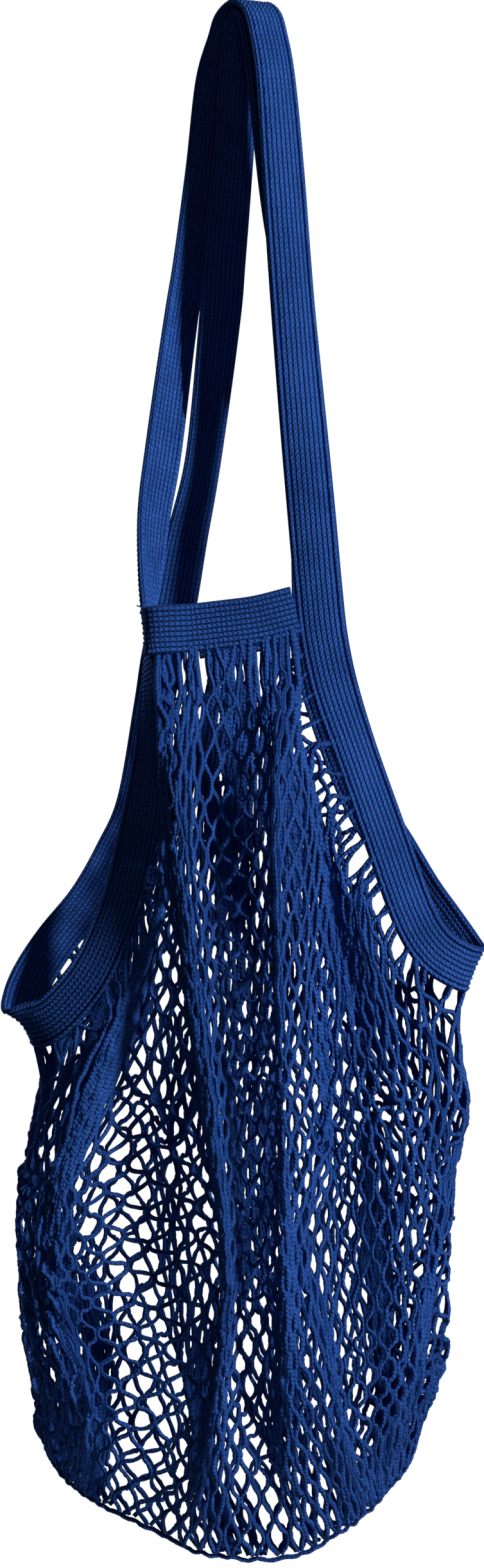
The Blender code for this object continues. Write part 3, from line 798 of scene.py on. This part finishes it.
def band_bulge(shares):
    """How far a mouth band curls outward between its edges: the same all along."""
    return np.full(len(shares), BAND_BULGE)


def socket(group, name, way):
    """Adds an input or output for a number to a node group."""
    return group.interface.new_socket(name=name, socket_type="NodeSocketFloat", in_out=way)


def math_node(nodes, links, operation, a, b=None, c=None):
    """A Math node with numbers or sockets on its inputs; its output socket."""
    node = nodes.new("ShaderNodeMath")
    node.operation = operation
    for slot, value in zip(node.inputs, (a, b, c)):
        if value is None:
            continue
        if isinstance(value, (int, float)):
            slot.default_value = value
        else:
            links.new(value, slot)
    return node.outputs[0]


def stitch_group():
    """Knit loops from a UV map: arms of a V that lean to the middle of each wale, and gaps between wales."""
    group = bpy.data.node_groups.new("knit_loops", "ShaderNodeTree")
    for name in ("Across", "Along", "Lean"):
        socket(group, name, "INPUT")
    socket(group, "Height", "OUTPUT")
    nodes, links = group.nodes, group.links
    inside = nodes.new("NodeGroupInput")
    out = nodes.new("NodeGroupOutput")
    place = math_node(nodes, links, "FRACT", inside.outputs["Across"])
    off = math_node(nodes, links, "ABSOLUTE", math_node(nodes, links, "SUBTRACT", place, 0.5))
    lean = math_node(nodes, links, "MULTIPLY", off, inside.outputs["Lean"])
    turn = math_node(nodes, links, "ADD", inside.outputs["Along"], lean)
    wave = math_node(nodes, links, "SINE", math_node(nodes, links, "MULTIPLY", turn, 2.0 * math.pi))
    loop = math_node(nodes, links, "MULTIPLY_ADD", wave, 0.5, 0.5)
    valley = math_node(nodes, links, "SUBTRACT", 1.0, math_node(nodes, links, "MULTIPLY", off, 2.0))
    steep = math_node(nodes, links, "MULTIPLY", valley, WALE_STEEPNESS)
    rim = math_node(nodes, links, "SMOOTH_MIN", steep, 1.0, WALE_SOFTNESS)
    rim = math_node(nodes, links, "MAXIMUM", rim, 0.0)
    loop = math_node(nodes, links, "MULTIPLY_ADD", loop, 0.5, 0.5)
    height = math_node(nodes, links, "MULTIPLY", loop, rim)
    links.new(height, out.inputs["Height"])
    return group


def noise_node(nodes, links, place, scale, detail):
    """The value of a noise texture at a place on the object."""
    noise = nodes.new("ShaderNodeTexNoise")
    noise.inputs["Scale"].default_value = scale
    noise.inputs["Detail"].default_value = detail
    links.new(place.outputs["Object"], noise.inputs["Vector"])
    return noise.outputs["Fac"]


def cotton_material(name, colour, group, repeats, lean, depth, shade, hems):
    """Dyed cotton yarn: knit loops in relief with painted shade between them, uneven dye and stitched hems.

    repeats says how many loops lie in a unit of the UV map, across and along. depth is the relief in
    millimetres, shade how dark the painted shade in the gaps is, and hems the places across with a row of
    stitches and painted shade in the hem groove.
    """
    material = bpy.data.materials.new(name)
    material.use_nodes = True
    nodes, links = material.node_tree.nodes, material.node_tree.links
    shader = nodes["Principled BSDF"]
    uv = nodes.new("ShaderNodeUVMap")
    uv.uv_map = "knit"
    split = nodes.new("ShaderNodeSeparateXYZ")
    links.new(uv.outputs["UV"], split.inputs[0])
    place = nodes.new("ShaderNodeTexCoord")
    fibre = noise_node(nodes, links, place, *FIBRE_NOISE)
    waver = noise_node(nodes, links, place, *WAVER_NOISE)
    dye = noise_node(nodes, links, place, *DYE_NOISE)
    wavering = []
    for axis, repeat, shift in zip("XY", repeats, WAVER_SHIFT):
        value = math_node(nodes, links, "MULTIPLY", split.outputs[axis], repeat)
        value = math_node(nodes, links, "SUBTRACT", value, shift / 2.0)
        wavering.append(math_node(nodes, links, "MULTIPLY_ADD", waver, shift, value))
    side, run = wavering
    loops = nodes.new("ShaderNodeGroup")
    loops.node_tree = group
    links.new(side, loops.inputs["Across"])
    links.new(run, loops.inputs["Along"])
    loops.inputs["Lean"].default_value = lean
    height = math_node(nodes, links, "MULTIPLY_ADD", fibre, FIBRE_RELIEF, loops.outputs["Height"])
    # Painted shade: the colour darkens where the loops are low, in the gaps between loops and between wales
    shade_and_dye = math_node(nodes, links, "MULTIPLY_ADD", loops.outputs["Height"], shade, 1.0 - shade)
    for patch in (fibre, dye):
        patch = math_node(nodes, links, "MULTIPLY_ADD", patch, DYE_GAIN, DYE_LEAST)
        shade_and_dye = math_node(nodes, links, "MULTIPLY", shade_and_dye, patch)
    # Painted shade along each hem groove, lighter where the stitches cross it; the relief dips there too
    for hem in hems:
        off = math_node(nodes, links, "ABSOLUTE", math_node(nodes, links, "SUBTRACT", side, hem))
        clear = math_node(nodes, links, "MULTIPLY", off, HEM_STEEPNESS)
        clear = math_node(nodes, links, "MINIMUM", clear, 1.0)
        stitch = math_node(nodes, links, "SINE", math_node(nodes, links, "MULTIPLY", run, 4.0 * math.pi))
        stitch = math_node(nodes, links, "MULTIPLY_ADD", stitch, STITCH_SWING, HEM_SHADE)
        clear = math_node(nodes, links, "MAXIMUM", clear, stitch)
        shade_and_dye = math_node(nodes, links, "MULTIPLY", shade_and_dye, clear)
        height = math_node(nodes, links, "MULTIPLY", height, clear)
    # The colour runs from the painted shade in the deepest gaps to the dye's own colour
    mix = nodes.new("ShaderNodeMix")
    mix.data_type = "RGBA"
    mix.inputs["A"].default_value = (*[c * d for c, d in zip(colour, PAINTED_GAP_SHADE)], 1.0)
    mix.inputs["B"].default_value = (*colour, 1.0)
    links.new(shade_and_dye, mix.inputs["Factor"])
    links.new(mix.outputs["Result"], shader.inputs["Base Color"])
    bump = nodes.new("ShaderNodeBump")
    bump.inputs["Strength"].default_value = 1.0
    bump.inputs["Distance"].default_value = depth * MM
    links.new(height, bump.inputs["Height"])
    links.new(bump.outputs["Normal"], shader.inputs["Normal"])
    shader.inputs["Roughness"].default_value = ROUGHNESS
    shader.inputs["Specular IOR Level"].default_value = SPECULAR
    shader.inputs["Sheen Weight"].default_value = SHEEN
    shader.inputs["Sheen Roughness"].default_value = SHEEN_ROUGHNESS
    shader.inputs["Sheen Tint"].default_value = SHEEN_TINT
    return material


def add_camera():
    """A level camera straight in front, with the photo's frame."""
    data = bpy.data.cameras.new("camera")
    data.sensor_width = SENSOR
    data.lens = SENSOR * CAMERA_DISTANCE / (PHOTO_HEIGHT * PIXEL)
    data.clip_start = 0.1
    data.clip_end = 50.0
    camera = bpy.data.objects.new("camera", data)
    camera.location = (VIEW_CENTRE_X, -CAMERA_DISTANCE, VIEW_CENTRE_Z)
    camera.rotation_euler = (math.radians(90.0), 0.0, 0.0)
    bpy.context.collection.objects.link(camera)
    bpy.context.scene.camera = camera


def add_lamp(name, place, size, power, colour):
    """A round area lamp that shines at the middle of the bag."""
    data = bpy.data.lights.new(name, "AREA")
    data.shape = "DISK"
    data.size = size
    data.energy = power
    data.color = colour
    lamp = bpy.data.objects.new(name, data)
    lamp.location = place
    lamp.rotation_euler = (Vector(LAMP_AIM) - Vector(place)).to_track_quat("-Z", "Y").to_euler()
    bpy.context.collection.objects.link(lamp)


def add_world():
    """A white room to look at, which gives the bag only a little of its light."""
    world = bpy.data.worlds.new("white_room")
    bpy.context.scene.world = world
    world.use_nodes = True
    nodes, links = world.node_tree.nodes, world.node_tree.links
    background = nodes["Background"]
    background.inputs["Color"].default_value = (1.0, 1.0, 1.0, 1.0)
    path = nodes.new("ShaderNodeLightPath")
    seen = path.outputs["Is Camera Ray"]
    for kind in ("Is Glossy Ray", "Is Transmission Ray"):
        seen = math_node(nodes, links, "MAXIMUM", seen, path.outputs[kind])
    strength = math_node(nodes, links, "MULTIPLY_ADD", seen, 1.0 - AMBIENT, AMBIENT)
    links.new(strength, background.inputs["Strength"])


def add_floor():
    """A pale round floor that takes the object's shadow."""
    work = bmesh.new()
    bmesh.ops.create_circle(work, cap_ends=True, segments=FLOOR_SIDES, radius=FLOOR_RADIUS)
    bmesh.ops.translate(work, verts=work.verts, vec=(0.0, 0.0, FLOOR_HEIGHT))
    mesh = bpy.data.meshes.new("floor")
    work.to_mesh(mesh)
    work.free()
    material = bpy.data.materials.new("pale_floor")
    material.use_nodes = True
    shader = material.node_tree.nodes["Principled BSDF"]
    shader.inputs["Base Color"].default_value = FLOOR_COLOUR
    shader.inputs["Roughness"].default_value = FLOOR_ROUGHNESS
    mesh.materials.append(material)
    floor = bpy.data.objects.new("floor", mesh)
    bpy.context.collection.objects.link(floor)


def add_tapes(material):
    """The ring of tape and the two mouth bands, each a piece that stands for its CAD node."""
    ring_length = even_places([0.0])[1]
    mesh = tape_mesh("knitted_tape", ring_frame, ring_bulge, ring_length, True)
    piece = mesh_piece("knitted_tape", mesh, material, "handle_tape")
    for name, node, band in (
        ("knitted_front_band", "front_mouth_band", [BAND_WRAP] + FRONT_BAND),
        ("knitted_back_band", "back_mouth_band", BACK_BAND),
    ):
        length = np.linalg.norm(np.diff(np.array(band), axis=0), axis=1).sum()
        mesh = tape_mesh(name, lambda shares, band=band: band_at(band, shares), band_bulge, length, False)
        piece = mesh_piece(name, mesh, material, node)


def add_cords(material):
    """The loose end of sewing thread, and the net's strands in a few pieces."""
    fine = np.linspace(0.0, len(THREAD_TAIL) - 1.0, THREAD_STEPS)
    tail = hermite(np.arange(len(THREAD_TAIL)), THREAD_TAIL, fine)
    mesh = cord_mesh("thread_tail", [(tail, np.full(len(tail), THREAD_DIAMETER / 2.0))])
    piece = mesh_piece("thread_tail", mesh, material)
    paths = strand_paths()
    for first in range(0, len(paths), STRANDS_PER_PIECE):
        name = f"net_strands_{first // STRANDS_PER_PIECE + 1}"
        mesh = cord_mesh(name, paths[first : first + STRANDS_PER_PIECE])
        piece = mesh_piece(name, mesh, material, "net_body")


def main():
    add_camera()
    add_world()
    add_floor()
    for name, place, size, power, colour in LAMPS:
        add_lamp(name, place, size, power, colour)
    loops = stitch_group()
    hems = (1.0, TAPE_WALES - 1.0)
    repeats = (2.0, 1.0 / (CORD_LOOP * MM))
    tape = cotton_material(
        "ribbed_tape", TAPE_COLOUR, loops, repeats=(1.0, 1.0), lean=1.2, depth=1.0, shade=1.0, hems=hems
    )
    cord = cotton_material(
        "net_cord", CORD_COLOUR, loops, repeats=repeats, lean=1.0, depth=0.8, shade=0.8, hems=()
    )
    add_tapes(tape)
    add_cords(cord)


bpy.context.scene.view_settings.view_transform = "Standard"
main()
